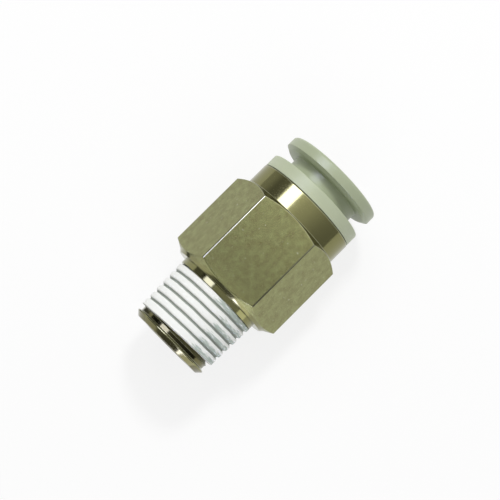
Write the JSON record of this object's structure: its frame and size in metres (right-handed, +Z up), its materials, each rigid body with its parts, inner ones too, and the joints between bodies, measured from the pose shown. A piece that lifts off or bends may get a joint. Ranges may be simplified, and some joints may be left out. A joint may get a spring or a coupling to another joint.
{
  "type": "push to connect fitting",
  "caption": "Straight male push-to-connect air fitting: hexagon brass body with a sealant-coated taper thread, resin collar ring and a sliding release button that takes a plain tube.",
  "frame": {"origin": "on the surface that the fitting lies on, under the middle of its length", "axes": "+X along the flow axis from the thread to the tube end, +Z up through the flat opposite the one that it rests on"},
  "size_m": [0.0344, 0.0196, 0.017],
  "materials": {
    "nickel_plated_brass": "satin nickel plate, polished where it is turned",
    "sealant_white": "chalky white coat",
    "seal_rubber": "moulded",
    "retainer_resin": "moulded",
    "stainless_steel": "pressed and tumbled",
    "pale_resin": "moulded, fine satin"
  },
  "bodies": {
    "fitting_body": {"hex_body": "nickel_plated_brass", "thread_sealant": "sealant_white", "tube_seal": "seal_rubber", "seal_retainer": "retainer_resin", "guide": "stainless_steel", "collar_ring": "pale_resin"},
    "tube_chuck": {"chuck": "stainless_steel"},
    "button": {"release_button": "pale_resin"}
  },
  "joints": [
    {"name": "release_slide", "type": "slide", "parent": "fitting_body", "child": "tube_chuck", "axis": [-1, 0, 0], "range_m": [0, 0.002], "stiffness_N_per_m": 100},
    {"name": "button_spin", "type": "hinge", "parent": "tube_chuck", "child": "button", "pos_m": [0.01518, 0, 0.0085], "axis": [1, 0, 0], "continuous": true}
  ]
}
